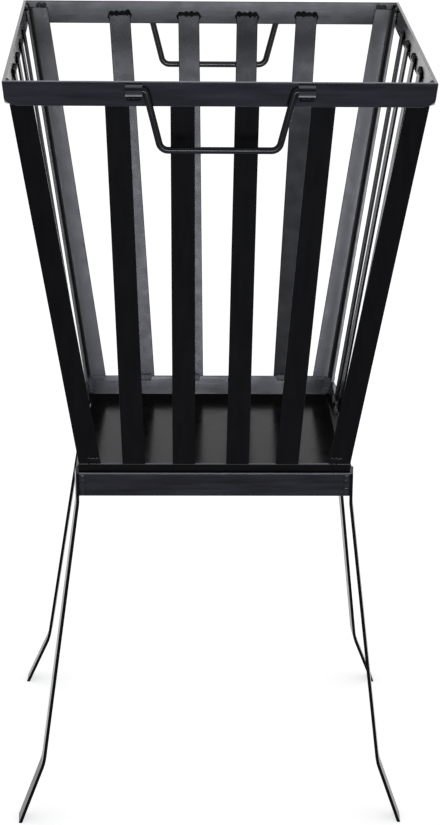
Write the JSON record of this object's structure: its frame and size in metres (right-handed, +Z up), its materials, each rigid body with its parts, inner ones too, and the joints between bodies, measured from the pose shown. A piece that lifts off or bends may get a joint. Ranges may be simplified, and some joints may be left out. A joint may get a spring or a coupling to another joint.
{
  "type": "fire basket",
  "caption": "Square fire basket of black steel slats, tapering down to a floor plate, that sits in a splayed-leg stand and lifts out by two swinging wire handles.",
  "frame": {"origin": "on the ground, under the middle of the basket", "axes": "+Z up, the front of the basket faces -Y, +X to its right as seen from the front"},
  "size_m": [0.3756, 0.3842, 0.7203],
  "materials": {
    "black_bar": "satin black high-temperature paint",
    "black_wire": "satin black high-temperature paint",
    "black_sheet": "matt black high-temperature paint",
    "black_weld": "satin black high-temperature paint"
  },
  "bodies": {
    "stand": {"leg_back_left": "black_bar", "leg_back_right": "black_bar", "leg_front_left": "black_bar", "leg_front_right": "black_bar", "stand_bar_back": "black_bar", "stand_bar_front": "black_bar", "stand_bar_left": "black_bar", "stand_bar_right": "black_bar", "stand_corner_welds": "black_weld"},
    "basket": {"base_ring_bar_back": "black_bar", "base_ring_bar_front": "black_bar", "base_ring_bar_left": "black_bar", "base_ring_bar_right": "black_bar", "corner_post_back_left": "black_bar", "corner_post_back_right": "black_bar", "corner_post_front_left": "black_bar", "corner_post_front_right": "black_bar", "floor_plate": "black_sheet", "handle_clip_back_left": "black_bar", "handle_clip_back_right": "black_bar", "handle_clip_front_left": "black_bar", "handle_clip_front_right": "black_bar", "post_bottom_welds": "black_weld", "post_top_welds": "black_weld", "rim_bar_back": "black_bar", "rim_bar_front": "black_bar", "rim_bar_left": "black_bar", "rim_bar_right": "black_bar", "ring_corner_welds": "black_weld", "slat_back_1": "black_bar", "slat_back_2": "black_bar", "slat_back_3": "black_bar", "slat_back_4": "black_bar", "slat_bottom_welds": "black_weld", "slat_front_1": "black_bar", "slat_front_2": "black_bar", "slat_front_3": "black_bar", "slat_front_4": "black_bar", "slat_left_1": "black_bar", "slat_left_2": "black_bar", "slat_left_3": "black_bar", "slat_left_4": "black_bar", "slat_right_1": "black_bar", "slat_right_2": "black_bar", "slat_right_3": "black_bar", "slat_right_4": "black_bar", "slat_top_welds": "black_weld"},
    "front_handle": {"handle_front": "black_wire"},
    "back_handle": {"handle_back": "black_wire"}
  },
  "joints": [
    {"name": "basket_lift", "type": "slide", "parent": "stand", "child": "basket", "axis": [0, 0, 1], "range_m": [0, 0.06]},
    {"name": "front_handle_swing", "type": "hinge", "parent": "basket", "child": "front_handle", "pos_m": [0, -0.18756, 0.71279], "axis": [-1, 0, 0], "range_deg": [0, 170]},
    {"name": "back_handle_swing", "type": "hinge", "parent": "basket", "child": "back_handle", "pos_m": [0.003, 0.18705, 0.70792], "axis": [1, 0, 0], "range_deg": [0, 170]}
  ]
}
